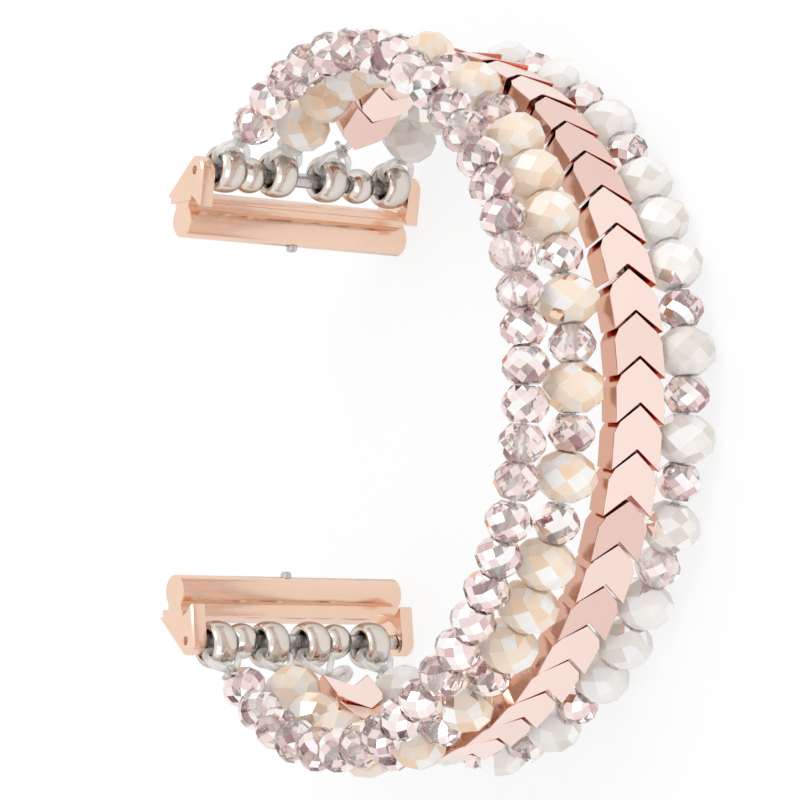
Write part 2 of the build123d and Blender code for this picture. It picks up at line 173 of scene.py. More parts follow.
# What the crystals share: a cloudy body, painted shade that turns rims to the edge's colour, and a frosted
# bore
crystalSurface = {"cloudScale": 700, "cloudStart": 0.42, "cloudFull": 0.7, "rimBlend": 0.4,
                  "polish": 0.04, "boreRough": 0.5}
# Facet shades: the glass's own colour, with painted highlights on the whitest facets and, on mauve, painted
# shade on the darkest; edge is painted shade on the rims
crystalLooks = {
    "mauve_crystal": {
        "facets": [(0.0, (168, 134, 138)), (0.06, (222, 192, 192)), (0.16, (246, 224, 221)),
                   (0.42, (253, 239, 235)), (0.66, (255, 248, 244)), (0.82, (255, 255, 253))],
        "coated": 0.5, "coat": 0.9, "edge": (204, 162, 164), "rimShadeFrom": 0.6, "rimShadeShare": 0.65,
        "cloud": (255, 244, 241), "clouded": 0.1, "core": (255, 252, 250),
        "sockets": {"Transmission_Weight": 0.8, "IOR": 1.42},
    },
    "champagne_crystal": {
        "facets": [(0.0, (250, 218, 186)), (0.12, (254, 234, 214)), (0.4, (255, 240, 224)),
                   (0.62, (255, 246, 235)), (0.77, (255, 255, 254))],
        "coated": 0.77, "coat": 0.85, "edge": (240, 190, 142), "rimShadeFrom": 0.4, "rimShadeShare": 0.8,
        "cloud": (255, 238, 216), "clouded": 0.3, "core": (255, 240, 222),
        "sockets": {"Transmission_Weight": 0.2, "IOR": 1.5},
    },
    "white_opal": {
        "facets": [(0.0, (232, 225, 216)), (0.14, (250, 245, 239)), (0.42, (254, 251, 247)),
                   (0.66, (255, 254, 252)), (0.79, (255, 255, 255))],
        "coated": 0.79, "coat": 0.8, "edge": (226, 214, 200), "rimShadeFrom": 0.5, "rimShadeShare": 0.7,
        "cloud": (255, 252, 247), "clouded": 0.3, "core": (250, 246, 240),
        "sockets": {"Transmission_Weight": 0.2, "IOR": 1.5},
    },
}


def crystalMaterial(name):
    # Cut glass: each facet has its own random tone, with painted highlights and shade among them, and some
    # carry a mirror coat
    look, surface = crystalLooks[name], crystalSurface
    material, tree, shader = newMaterial(name, **look["sockets"])
    colour = attributeRamp(tree, "facetToneAndGlint", [(place, tint(*shade)) for place, shade in look["facets"]])
    cloud = rampFrom(tree, noise(tree, surface["cloudScale"]),
                     [(surface["cloudStart"], 0.0), (surface["cloudFull"], look["clouded"])])
    colour = mixColours(tree, cloud, colour, tint(*look["cloud"]))
    # Painted shade: rims turned away from the camera take the darker, warmer edge colour
    layer = tree.nodes.new("ShaderNodeLayerWeight")
    layer.inputs["Blend"].default_value = surface["rimBlend"]
    rimShading = rampFrom(tree, layer.outputs["Facing"], [(look["rimShadeFrom"], 0.0), (1.0, look["rimShadeShare"])])
    colour = mixColours(tree, rimShading, colour, tint(*look["edge"]))
    bore = tree.nodes.new("ShaderNodeAttribute")
    bore.attribute_name = "bore"
    colour = mixColours(tree, bore.outputs["Fac"], colour, tint(*look["core"]))
    tree.links.new(colour, shader.inputs["Base Color"])
    coat = attributeRamp(tree, "facetCoat", [(0.0, 0.0), (look["coated"], look["coat"])])
    tree.links.new(coat, shader.inputs["Metallic"])
    rough = attributeRamp(tree, "bore", [(0.0, surface["polish"]), (0.5, surface["boreRough"])])
    tree.links.new(rough, shader.inputs["Roughness"])
    return material


mauveCrystal, champagneCrystal, whiteOpal = (crystalMaterial(name) for name in crystalLooks)


metalSurface = {"rimBlend": 0.35, "wearScale": 260, "wearStart": 0.4, "wearFull": 0.75,
                "grainScale": 1400, "grainStart": 0.3, "grainFull": 0.75,
                "grainDepth": 0.02 * mm, "grainStrength": 0.08}
# How dull a chevron is, by the random shade of each bead
chevronDullness = [(0.0, 0.0), (0.4, 0.1), (0.6, 0.05), (0.75, 0.45), (0.9, 0.0)]


def metalMaterial(name, face, edge, rimShadeStart, rough, scratches, wear=0.08, faceColoursAndShades=None):
    # Plated metal with painted reflection and shade: it turns darker and warmer where the surface turns away
    # from the camera
    material, tree, shader = newMaterial(name, Metallic=1.0)
    surface = metalSurface
    layer = tree.nodes.new("ShaderNodeLayerWeight")
    layer.inputs["Blend"].default_value = surface["rimBlend"]
    rimShading = rampFrom(tree, layer.outputs["Facing"], [(rimShadeStart, 0.0), (1.0, 1.0)])
    if faceColoursAndShades:
        # Painted shade: seam faces take a dark red-brown and sides a tan, standing in for shade and warm
        # reflection between beads
        face = attributeRamp(tree, "sideFace", [(place, tint(*shade)) for place, shade in faceColoursAndShades])
        face = mixColours(tree, attributeRamp(tree, "beadShade", chevronDullness), face, edge)
    colour = mixColours(tree, rimShading, face, edge)
    worn = rampFrom(tree, noise(tree, surface["wearScale"], 4),
                    [(surface["wearStart"], 0.0), (surface["wearFull"], wear)])
    colour = mixColours(tree, worn, colour, edge)
    tree.links.new(colour, shader.inputs["Base Color"])
    grain = noise(tree, surface["grainScale"], 3, scratches)
    low, high = rough
    dulled = rampFrom(tree, grain, [(surface["grainStart"], low), (surface["grainFull"], high)])
    tree.links.new(dulled, shader.inputs["Roughness"])
    bumpFrom(tree, shader, grain, surface["grainDepth"], surface["grainStrength"])
    return material


# Rose gold: flat faces in their own colour, then a painted dark red-brown shade on the seams and a painted
# tan shade on the sides
roseGold = metalMaterial("rose_gold", tint(252, 227, 219), tint(214, 168, 156), 0.6,
                         (0.1, 0.18), (1, 1, 1), 0.03,
                         [(0.0, (252, 227, 219)), (0.3, (200, 98, 72)), (0.7, (218, 170, 148))])
lugRoseGold = metalMaterial("lug_rose_gold", tint(244, 210, 188), tint(206, 158, 132), 0.45,
                            (0.2, 0.28), (1, 1, 1), 0.06)
# Silver: its dark brown edge colour is a painted warm reflection and shade on the rims
silver = metalMaterial("silver", tint(226, 219, 211), tint(98, 78, 67), 0.2,
                       (0.08, 0.2), (1, 1, 1))
steel = metalMaterial("steel", tint(205, 203, 202), tint(120, 116, 114), 0.4,
                      (0.2, 0.35), (0.15, 0.15, 4))


elasticSurface = {"cloudScale": 700, "rough": [(0.3, 0.04), (0.7, 0.18)], "rippleScale": 500,
                  "rippleDepth": 0.04 * mm, "rippleStrength": 0.2}


def elasticMaterial():
    material, tree, shader = newMaterial(
        "clear_elastic", Base_Color=tint(252, 251, 248), Transmission_Weight=0.62, IOR=1.33)
    surface = elasticSurface
    cloud = rampFrom(tree, noise(tree, surface["cloudScale"]), surface["rough"])
    tree.links.new(cloud, shader.inputs["Roughness"])
    ripple = noise(tree, surface["rippleScale"])
    bumpFrom(tree, shader, ripple, surface["rippleDepth"], surface["rippleStrength"])
    return material


clearElastic = elasticMaterial()
print("materials made")


# Places of the repeated solids, read from the CAD nodes

def solidsIn(nodeName):
    # The middle, the axes by spread and the corners of each solid in a node
    mesh = bmesh.new()
    mesh.from_mesh(frame["nodes"][nodeName].data)
    bmesh.ops.remove_doubles(mesh, verts=mesh.verts, dist=weldDistance)
    mesh.verts.ensure_lookup_table()
    found, seen = [], set()
    for start in mesh.verts:
        if start.index in seen:
            continue
        seen.add(start.index)
        group, waiting = [], [start]
        while waiting:
            vert = waiting.pop()
            group.append(vert)
            for edge in vert.link_edges:
                other = edge.other_vert(vert)
                if other.index not in seen:
                    seen.add(other.index)
                    waiting.append(other)
        corners = np.array([v.co for v in group])
        base = corners.mean(0)
        faces = {f for v in group for f in v.link_faces}
        volume, first, second = 0.0, np.zeros(3), np.zeros((3, 3))
        for face in faces:
            a, b, c = (np.array(loop.vert.co) - base for loop in face.loops)
            part = np.dot(a, np.cross(b, c))
            total = a + b + c
            volume += part / 6
            first += part / 24 * total
            second += part / 120 * (sum(np.outer(v, v) for v in (a, b, c)) + np.outer(total, total))
        middle = first / volume
        axes = np.linalg.eigh(second / volume - np.outer(middle, middle))[1]
        found.append({"middle": Vector(base + middle), "axes": [Vector(axes[:, i]) for i in range(3)],
                      "corners": corners})
    mesh.free()
    return found


def strandPlane():
    # The champagne beads all lie in one plane, which leans a little to the floor
    spots = np.array([solid["middle"] for number in range(1, len(spans) + 1)
                      for solid in solidsIn(f"champagne_beads_{number}")])
    slope = np.linalg.lstsq(np.c_[spots[:, :2], np.ones(len(spots))], spots[:, 2], rcond=None)[0]
    normal = Vector((-slope[0], -slope[1], 1)).normalized()
    return normal, normal.dot(Vector((0, 0, slope[2])))


planeNormal, planeHeight = strandPlane()
# The lowest place of each strand's beads, from that plane. The white strand lies below them all.
strandFloors = {"mauve": 2.7 * mm, "champagne": -3 * mm, "chevron": -9 * mm}
colours = {
    "mauve": (mauveCrystal, "mauve_crystal"),
    "champagne": (champagneCrystal, "champagne_crystal"),
    "chevron": (roseGold, "rose_gold"),
    "white": (whiteOpal, "white_opal"),
}
beads = []
for number, body in enumerate(spans, start=1):
    for colour in colours:
        node = f"{colour}_beads_{number}"
        if node not in frame["nodes"]:
            continue
        for solid in solidsIn(node):
            height = planeNormal.dot(solid["middle"]) - planeHeight
            strand = next((name for name, floor in strandFloors.items() if height > floor), "white")
            beads.append({"node": node, "body": body, "colour": colour, "strand": strand,
                          "segment": number, **solid})
for bead in beads:
    x, y, _ = bead["middle"]
    bead["round"] = math.atan2(y, x)
beads.sort(key=lambda bead: -bead["round"])
strands = {name: [bead for bead in beads if bead["strand"] == name] for name in colours}
for name, row in strands.items():
    for place, bead in enumerate(row):
        before, after = row[max(0, place - 1)], row[min(len(row) - 1, place + 1)]
        onward = (before["middle"] - after["middle"]).normalized()
        if bead["colour"] == "chevron":
            outward = bead["axes"][0]
            aim = planeNormal.cross(outward).normalized()
        else:
            aim = bead["axes"][0]
        bead["aim"] = aim if aim.dot(onward) > 0 else -aim
print("beads found:", {name: len(row) for name, row in strands.items()})


# Mesh objects, and node trees that lay beads on points and tubes on lines

facetLikeness = 0.4     # share of a bead's own shade in which of its facets are coated
toneSeedStep = 100
seeds = {"row": 7, "rings": 3, "balls": 5, "crimps": 9}


def meshObject(name, vertices, faces, edges=()):
    mesh = bpy.data.meshes.new(name)
    mesh.from_pydata([tuple(v) for v in vertices], edges, faces)
    mesh.update()
    thing = bpy.data.objects.new(name, mesh)
    scene.collection.objects.link(thing)
    return thing


def faceOutwards(thing):
    shape = bmesh.new()
    shape.from_mesh(thing.data)
    bmesh.ops.recalc_face_normals(shape, faces=shape.faces)
    shape.to_mesh(thing.data)
    shape.free()


def newTree(name, **inputs):
    # A node tree from geometry to geometry, with named inputs for its sizes
    tree = bpy.data.node_groups.new(name, "GeometryNodeTree")
    for socket, kind in {"Geometry": "Geometry", **inputs}.items():
        tree.interface.new_socket(socket, in_out="INPUT", socket_type="NodeSocket" + kind)
    tree.interface.new_socket("Geometry", in_out="OUTPUT", socket_type="NodeSocketGeometry")
    return tree, tree.nodes.new("NodeGroupInput")


def endTree(tree, given, last):
    # The last step of each tree: the finish is put on and the geometry goes out
    paint = tree.nodes.new("GeometryNodeSetMaterial")
    result = tree.nodes.new("NodeGroupOutput")
    tree.links.new(last, paint.inputs["Geometry"])
    tree.links.new(given.outputs["Finish"], paint.inputs["Material"])
    tree.links.new(paint.outputs["Geometry"], result.inputs["Geometry"])
    return tree


def endTube(tree, given, line):
    # A round tube along a curve, closed at its ends
    nodes, links = tree.nodes, tree.links
    section = nodes.new("GeometryNodeCurvePrimitiveCircle")
    tube = nodes.new("GeometryNodeCurveToMesh")
    tube.inputs["Fill Caps"].default_value = True
    smooth = nodes.new("GeometryNodeSetShadeSmooth")
    whole = nodes.new("GeometryNodeRealizeInstances")
    links.new(given.outputs["Sides"], section.inputs["Resolution"])
    links.new(given.outputs["Thickness"], section.inputs["Radius"])
    links.new(line, tube.inputs["Curve"])
    links.new(section.outputs["Curve"], tube.inputs["Profile Curve"])
    links.new(tube.outputs["Mesh"], smooth.inputs["Geometry"])
    links.new(smooth.outputs["Geometry"], whole.inputs["Geometry"])
    return endTree(tree, given, whole.outputs["Geometry"])


def beadTree():
    tree, given = newTree("strung_beads", Bead="Object", Finish="Material", Seed="Int")
    nodes, links = tree.nodes, tree.links
    info = nodes.new("GeometryNodeObjectInfo")
    lay = nodes.new("GeometryNodeInstanceOnPoints")
    turn = nodes.new("GeometryNodeInputNamedAttribute")
    turn.data_type = "QUATERNION"
    turn.inputs["Name"].default_value = "turn"
    whole = nodes.new("GeometryNodeRealizeInstances")
    links.new(given.outputs["Bead"], info.inputs["Object"])
    links.new(given.outputs["Geometry"], lay.inputs["Points"])
    links.new(info.outputs["Geometry"], lay.inputs["Instance"])
    links.new(turn.outputs["Attribute"], lay.inputs["Rotation"])
    links.new(lay.outputs["Instances"], whole.inputs["Geometry"])
    last = whole.outputs["Geometry"]
    for offset, name in enumerate(("facetToneAndGlint", "facetCoat")):
        chance = nodes.new("FunctionNodeRandomValue")
        chance.data_type = "FLOAT"
        shift = nodes.new("ShaderNodeMath")
        shift.inputs[1].default_value = offset * toneSeedStep
        beadShade = nodes.new("GeometryNodeInputNamedAttribute")
        beadShade.data_type = "FLOAT"
        beadShade.inputs["Name"].default_value = "beadShade"
        blend = nodes.new("ShaderNodeMix")
        blend.inputs["Factor"].default_value = facetLikeness * offset
        store = nodes.new("GeometryNodeStoreNamedAttribute")
        store.data_type = "FLOAT"
        store.domain = "FACE"
        store.inputs["Name"].default_value = name
        links.new(given.outputs["Seed"], shift.inputs[0])
        links.new(shift.outputs[0], chance.inputs["Seed"])
        links.new(chance.outputs[1], blend.inputs[2])
        links.new(beadShade.outputs["Attribute"], blend.inputs[3])
        links.new(blend.outputs[0], store.inputs["Value"])
        links.new(last, store.inputs["Geometry"])
        last = store.outputs["Geometry"]
    return endTree(tree, given, last)


def applied(thing, name):
    # The evaluated mesh as a plain object, at the origin
    bpy.context.view_layer.update()
    shape = bpy.data.meshes.new_from_object(thing.evaluated_get(bpy.context.evaluated_depsgraph_get()))
    shape.name = name
    piece = bpy.data.objects.new(name, shape)
    scene.collection.objects.link(piece)
    bpy.data.objects.remove(thing)
    return piece


def setInputs(modifier, **values):
    sockets = {item.name: item.identifier for item in modifier.node_group.interface.items_tree
               if item.in_out == "INPUT"}
    for name, value in values.items():
        modifier[sockets[name]] = value


strungBeads = beadTree()


def stringPieces(name, places, shape, material, seed):
    # One mesh with a copy of the shape at each place, which is a point and a turn
    host = meshObject(name + "_points", [spot for spot, _ in places], [])
    chance = np.random.default_rng(seed)
    host.data.attributes.new("beadShade", "FLOAT", "POINT")
    host.data.attributes["beadShade"].data.foreach_set("value", chance.random(len(places)))
    host.data.attributes.new("turn", "QUATERNION", "POINT")
    for item, (_, quaternion) in zip(host.data.attributes["turn"].data, places):
        item.value = quaternion
    modifier = host.modifiers.new("beads", "NODES")
    modifier.node_group = strungBeads
    setInputs(modifier, Bead=shape, Finish=material, Seed=seed)
    return applied(host, name)


def turned(aim, side, angle=0.0):
    # Quaternion that takes X to the aim and Z as near as it can to the side
    x = aim.normalized()
    y = side.cross(x).normalized()
    z = x.cross(y)
    return Matrix((x, y, z)).transposed().to_quaternion() @ Matrix.Rotation(angle, 3, "X").to_quaternion()


# Cut crystal beads

smallBead = {"sides": 10, "radius": 2.25, "half": 1.65, "girdle": 0.5, "crown": 1.1, "bore": 0.5}
largeBead = {"sides": 8, "radius": 3.0, "half": 2.25, "girdle": 1.0, "crown": 1.5, "bore": 0.5}


def cutBead(name, size):
    # Diamonds round the middle, two rows of kites and a row of triangles up to each lip
    sides, step = size["sides"], math.pi / size["sides"]
    radius, half, girdle, crown = (size[k] * mm for k in ("radius", "half", "girdle", "crown"))
    fall = radius * math.sin(step) ** 2 / girdle
    shoulder, neck = radius * math.cos(step), radius - fall * crown
    fallOn = (shoulder - neck * math.cos(step)) / (crown - girdle)
    lip = shoulder - fallOn * (half - girdle)
    vertices, faces, inBore = [], [], []

    def ring(x, r, odd):
        first = len(vertices)
        for i in range(sides):
            angle = (2 * i + odd) * step
            vertices.append((x, r * math.cos(angle), r * math.sin(angle)))
        return [first + i for i in range(sides)]

    waist = ring(0, radius, 0)
    rows = []
    for end in (1, -1):
        rows.append([ring(end * girdle, shoulder, 1), ring(end * crown, neck, 0),
                     ring(end * half, lip, 1), ring(end * half, size["bore"] * mm, 0)])
    for i in range(sides):
        j = (i + 1) % sides
        faces.append([waist[i], rows[1][0][i], waist[j], rows[0][0][i]])
        for end, (tips, necks, lips, holes) in zip((1, -1), rows):
            before = (i - 1) % sides
            fresh = [[waist[i], tips[i], necks[i], tips[before]],
                     [tips[i], necks[j], lips[i], necks[i]],
                     [necks[i], lips[i], lips[before]],
                     [lips[before], lips[i], holes[i]],
                     [lips[i], holes[j], holes[i]]]
            faces += [face if end > 0 else face[::-1] for face in fresh]
        inner = [rows[0][3][i], rows[0][3][j], rows[1][3][j], rows[1][3][i]]
        inBore.append(len(faces))
        faces.append(inner)
    thing = meshObject(name, vertices, faces)
    faceOutwards(thing)
    bore = thing.data.attributes.new("bore", "FLOAT", "FACE")
    for index in inBore:
        bore.data[index].value = 1.0
    return thing


cutBeads = {"small": cutBead("small_bead", smallBead), "large": cutBead("large_bead", largeBead)}
beadTurn = {"step": 37, "strandStep": 11}       # degrees that each bead is turned on from the last


# Chevron beads

chevronBead = {"arm": 3.95, "width": 5.8, "rise": 2.0, "shoulder": 0.6, "thickness": 2.2,
               "bore": 0.55, "boreSides": 10, "bevel": 0.1, "bevelSteps": 2, "bevelFrom": 20,
               "taper": 20, "flat": 0.5, "seam": (0.75, 0.95)}


def chevronShape(size):
    front, back = size["arm"] / 2 * mm, -size["arm"] / 2 * mm
    half, rise, cut = size["width"] / 2 * mm, size["rise"] * mm, size["shoulder"] * mm
    right = [(front, 0), (front - rise * (half - cut) / half, half - cut),
             (front - rise - cut, half), (back - rise, half), (back, 0)]
    outline = right + [(x, -y) for x, y in right[3:0:-1]]
    deep = size["thickness"] / 2 * mm
    count = len(outline)
    inner = 1 - size["taper"] * deep        # wider at the outside of the band's bend
    vertices = [(x / inner, -deep, z) for x, z in outline] + [(x * inner, deep, z) for x, z in outline]
    faces = [list(range(count)), list(range(2 * count - 1, count - 1, -1))]
    faces += [[i, count + i, count + (i + 1) % count, (i + 1) % count] for i in range(count)]
    thing = meshObject("chevron", vertices, faces)
    faceOutwards(thing)
    drill = meshObject("drill", *tubeShape(size["bore"] * mm, 4 * front, size["boreSides"]))
    hole = thing.modifiers.new("bore", "BOOLEAN")
    hole.operation = "DIFFERENCE"
    hole.solver = "EXACT"
    hole.object = drill
    bevel = thing.modifiers.new("bevel", "BEVEL")
    bevel.width = size["bevel"] * mm
    bevel.segments = size["bevelSteps"]
    bevel.limit_method = "ANGLE"
    bevel.angle_limit = math.radians(size["bevelFrom"])
    finished = applied(thing, "chevron_bead")
    bpy.data.objects.remove(drill)
    # 0 on the flat faces, 0.5 in the seam between two beads and 1 on the sides; seams and sides get painted
    # shade
    side = finished.data.attributes.new("sideFace", "FLOAT", "FACE")
    low, high = size["seam"]
    for face, item in zip(finished.data.polygons, side.data):
        onward = abs(face.normal.x)
        item.value = 0.0 if abs(face.normal.y) > size["flat"] else 0.5 if low < onward < high else 1.0
    return finished


def tubeShape(radius, length, sides):
    # Closed rod along X
    vertices = [(x, radius * math.cos(2 * math.pi * i / sides), radius * math.sin(2 * math.pi * i / sides))
                for x in (-length / 2, length / 2) for i in range(sides)]
    faces = [[i, (i + 1) % sides, sides + (i + 1) % sides, sides + i] for i in range(sides)]
    faces += [list(range(sides))[::-1], list(range(sides, 2 * sides))]
    return vertices, faces


def boreMiddle(item):
    # The middle of a bead's bore. A chevron's solid has its centre of mass off it, so its tip is used.
    if item["colour"] != "chevron":
        return item["middle"]
    aim = item["aim"]
    tip = max(aim.dot(Vector(corner)) for corner in item["corners"])
    return item["middle"] + aim * (tip - chevronBead["arm"] / 2 * mm - aim.dot(item["middle"]))


chevron = chevronShape(chevronBead)
for number, body in enumerate(spans, start=1):
    for colour, (material, slot) in colours.items():
        node = f"{colour}_beads_{number}"
        mine = [item for item in beads if item["node"] == node]
        if not mine:
            continue
        places = []
        for item in mine:
            angle = 0.0
            if colour != "chevron":
                place = strands[item["strand"]].index(item)
                angle = math.radians(beadTurn["step"] * place + beadTurn["strandStep"] * len(item["strand"]))
            places.append((boreMiddle(item), turned(item["aim"], planeNormal, angle)))
        shape = chevron if colour == "chevron" else cutBeads["small" if colour == "mauve" else "large"]
        seed = number * seeds["row"] + len(colour)
        piece = stringPieces(f"{colour}_row_{number}", places, shape, material, seed)
        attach(piece, body)
        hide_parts(node)
for thing in (*cutBeads.values(), chevron):
    bpy.data.objects.remove(thing)
print("strung beads made")


# Rings and spacer balls on the bars

ringBead = {"outer": 2.45, "hole": 1.3, "length": 2.75, "around": 40, "soft": 1.0}
spacerBall = {"outer": 1.85, "hole": 0.8, "length": 2.8, "face": 1.2, "around": 28}


def lathe(name, profile, around):
    # Closed profile of (radius, height) turned about Z
    vertices, faces = [], []
    count = len(profile)
    for i in range(around):
        angle = 2 * math.pi * i / around
        vertices += [(r * math.cos(angle), r * math.sin(angle), h) for r, h in profile]
    for i in range(around):
        j = (i + 1) % around
        for k in range(count):
            m = (k + 1) % count
            faces.append([i * count + k, j * count + k, j * count + m, i * count + m])
    thing = meshObject(name, vertices, faces)
    thing.data.shade_smooth()
    faceOutwards(thing)
    return thing


def roundedProfile(inner, outer, length, softness, count=20):
    # Section of a ring's wall: a box with its corners rounded by some share
    middle, wide, tall = (inner + outer) / 2, (outer - inner) / 2, length / 2
    points = []
    for i in range(count):
        angle = 2 * math.pi * i / count
        c, s = math.cos(angle), math.sin(angle)
        power = 2 / (2 + (1 - softness) * 6)
        points.append(((middle + wide * math.copysign(abs(c) ** power, c)) * mm,
                       tall * math.copysign(abs(s) ** power, s) * mm))
    return points


ringShape = lathe("ring", roundedProfile(ringBead["hole"], ringBead["outer"], ringBead["length"],
                                         ringBead["soft"]), ringBead["around"])


def ballProfile(size, count=9):
    tall = size["length"] / 2
    points = [(size["hole"] * mm, tall * mm)]
    start = math.asin(min(1, size["face"] / size["outer"]))
    for i in range(count):
        angle = start + (math.pi - 2 * start) * i / (count - 1)
        points.append((size["outer"] * math.sin(angle) * mm,
                       tall * math.cos(angle) / math.cos(start) * mm))
    points.append((size["hole"] * mm, -tall * mm))
    return points


ballShape = lathe("ball", ballProfile(spacerBall), spacerBall["around"])
upright = Matrix.Identity(3).to_quaternion()
ringPlaces = {}
for end in ends:
    node = f"{end}_ring_beads"
    places = sorted((solid["middle"] for solid in solidsIn(node)), key=lambda spot: -spot.z)
    ringPlaces[end] = places
    turnedPlaces = [(spot, upright) for spot in places]
    piece = stringPieces(f"{end}_rings", turnedPlaces, ringShape, silver, seeds["rings"])
    piece.data.shade_smooth()
    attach(piece, f"span_{end}_lug")
    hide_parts(node)
    for number in (1, 2):
        node = f"{end}_spacer_ball_{number}"
        spot = solidsIn(node)[0]["middle"]
        piece = stringPieces(f"{end}_ball_{number}", [(spot, upright)], ballShape, silver, seeds["balls"])
        piece.data.shade_smooth()
        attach(piece, node)
        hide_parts(node)
for thing in (ringShape, ballShape):
    bpy.data.objects.remove(thing)
print("rings and balls made")


# Cords

cordSize = {"radius": 0.3, "sides": 12, "steps": 6}


def cordTree():
    tree, given = newTree("cord", Thickness="Float", Sides="Int", Steps="Int", Finish="Material")
    nodes, links = tree.nodes, tree.links
    line = nodes.new("GeometryNodeMeshToCurve")
    kind = nodes.new("GeometryNodeCurveSplineType")
    kind.spline_type = "CATMULL_ROM"
    fine = nodes.new("GeometryNodeSetSplineResolution")
    links.new(given.outputs["Geometry"], line.inputs["Mesh"])
    links.new(line.outputs["Curve"], kind.inputs["Curve"])
    links.new(kind.outputs["Curve"], fine.inputs["Geometry"])
    links.new(given.outputs["Steps"], fine.inputs["Resolution"])
    return endTube(tree, given, fine.outputs["Geometry"])


cordLines = cordTree()


def cordPiece(name, routes, radius):
    # Tubes along several routes, as one mesh
    vertices, edges = [], []
    for route in routes:
        first = len(vertices)
        vertices += route
        edges += [(first + i, first + i + 1) for i in range(len(route) - 1)]
    host = meshObject(name + "_lines", vertices, [], edges)
    modifier = host.modifiers.new("cord", "NODES")
    modifier.node_group = cordLines
    setInputs(modifier, Thickness=radius * mm, Sides=cordSize["sides"], Steps=cordSize["steps"],
              Finish=clearElastic)
    return applied(host, name)


hinges = {joint["name"]: joint for joint in frame["joints"]}
seams = ("strands_top_near", "strands_top_middle", "strands_top_far",
         "strands_bottom_far", "strands_bottom_middle", "strands_bottom_near")
for number, seam in enumerate(seams, start=1):
    routes, onward = [], Vector()
    for name, row in strands.items():
        near = [i for i, item in enumerate(row) if item["segment"] == number]
        far = [i for i, item in enumerate(row) if item["segment"] == number + 1]
        start = 0 if number == 1 else near[len(near) // 2]
        stop = len(row) - 1 if number == len(seams) else far[len(far) // 2]
        routes.append([boreMiddle(item) for item in row[start:stop + 1]])
        onward += (row[far[0]]["middle"] - row[near[-1]]["middle"]).normalized()
    onward.normalize()
    middle = Vector(hinges[seam]["pos_m"])
    piece = cordPiece(f"cords_{number}", routes, cordSize["radius"])
    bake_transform(piece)
    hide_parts(*(f"elastic_cord_{name}" for name in strands))


# Loops round the rings, knots and crimps at the lugs

loopSize = {"radius": 0.36, "offset": 0.5, "clear": 0.06, "knot": 3.75, "knotRadius": 0.66,
            "ringRadius": 2.45, "hole": 1.3, "length": 2.75, "shoulder": 0.36, "tail": 1.5,
            "mouth": 0.1, "knotShare": 0.75, "knotCord": 0.9}
# How far each corner of a loop is cut: at its crest, down the ring's wall, in its hole and at the turn
loopCorners = {"crest": 0.5, "wall": 0.9, "hole": 0.5, "turn": 0.55}
beadHalves = {"mauve": 1.65, "champagne": 2.2, "chevron": 1.95, "white": 2.2}
crimped = {"top": "champagne", "bottom": "chevron"}
knotTurns = {"steps": 14, "wide": 2, "tall": 1.1, "reach": 3.4}


def knotShape(spot, radius):
    # A small overhand knot: a cord that goes twice round and three times through
    points = []
    for i in range(knotTurns["steps"] + 1):
        around = 4 * math.pi * i / knotTurns["steps"]
        through = 1.5 * around
        wide = knotTurns["wide"] + math.cos(through)
        points.append(Vector((wide * math.cos(around), wide * math.sin(around),
                              math.sin(through) * knotTurns["tall"])) * radius / knotTurns["reach"] + spot)
    return points


for end, side in zip(ends, (1, -1)):
    routes, knots = [], []
    low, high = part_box(f"{end}_bar_tube")
    barMiddle = (low + high) / 2
    for name, ringSpot in zip(strands, ringPlaces[end]):
        first = strands[name][0 if side > 0 else -1]
        outward = Vector((ringSpot.x - barMiddle.x, ringSpot.y - barMiddle.y, 0)).normalized()
        bore = boreMiddle(first)
        aim = first["aim"] * side
        mouth = bore + aim * (beadHalves[first["colour"]] + loopSize["mouth"]) * mm
        centre = Vector((barMiddle.x, barMiddle.y, ringSpot.z))
        knot = mouth.lerp(centre + outward * (loopSize["knot"] * mm), loopSize["knotShare"])
        wide = (loopSize["length"] / 2 + loopSize["clear"] + loopSize["radius"]) * mm
        reach = (loopSize["offset"] + loopSize["hole"] - loopSize["clear"] - loopSize["radius"]) * mm
        crest = (loopSize["offset"] + loopSize["ringRadius"] + loopSize["shoulder"]) * mm
        around = [knot]
        for sign in (1, -1):
            up = Vector((0, 0, sign))
            leg = [centre + outward * crest + up * (wide - loopCorners["crest"] * mm),
                   centre + outward * (crest - loopCorners["wall"] * mm) + up * wide,
                   centre + outward * (reach + loopCorners["hole"] * mm) + up * wide,
                   centre + outward * reach + up * (wide - loopCorners["turn"] * mm)]
            around += leg if sign > 0 else leg[::-1]
            if sign > 0:
                around.append(centre + outward * reach)
        around.append(knot)
        routes.append(around)
        routes.append([bore, mouth, knot])
        if crimped[end] != name:
            knots.append(knotShape(knot, loopSize["knotRadius"] * mm))
            lean = (outward + Vector((0, 0, 1))).normalized() * (loopSize["tail"] * mm)
            knots.append([knot, knot + lean * 0.5, knot + lean])
    piece = cordPiece(f"{end}_loops", routes, loopSize["radius"])
    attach(piece, f"span_{end}_lug")
    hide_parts(*(f"elastic_cord_{name}" for name in strands))
    piece = cordPiece(f"{end}_knots", knots, cordSize["radius"] * loopSize["knotCord"])
    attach(piece, f"span_{end}_lug")
    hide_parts(*(f"elastic_cord_{name}" for name in strands))
print("cords made")

crimpSize = {"outer": 1.4, "hole": 0.36, "length": 0.9, "around": 24, "soft": 0.95, "section": 16}
crimpShape = lathe("crimp", roundedProfile(crimpSize["hole"], crimpSize["outer"], crimpSize["length"],
                                           crimpSize["soft"], crimpSize["section"]), crimpSize["around"])
for end in ends:
    solid = solidsIn(f"{end}_crimp_bead")[0]
    turn = Vector((0, 0, 1)).rotation_difference(solid["axes"][0])
    place = [(solid["middle"], turn)]
    piece = stringPieces(f"{end}_crimp", place, crimpShape, clearElastic, seeds["crimps"])
    piece.data.shade_smooth()
    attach(piece, f"span_{end}_lug")
    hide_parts(f"{end}_crimp_bead")
bpy.data.objects.remove(crimpShape)
print("crimps made")


# Lug adapters, with softened edges

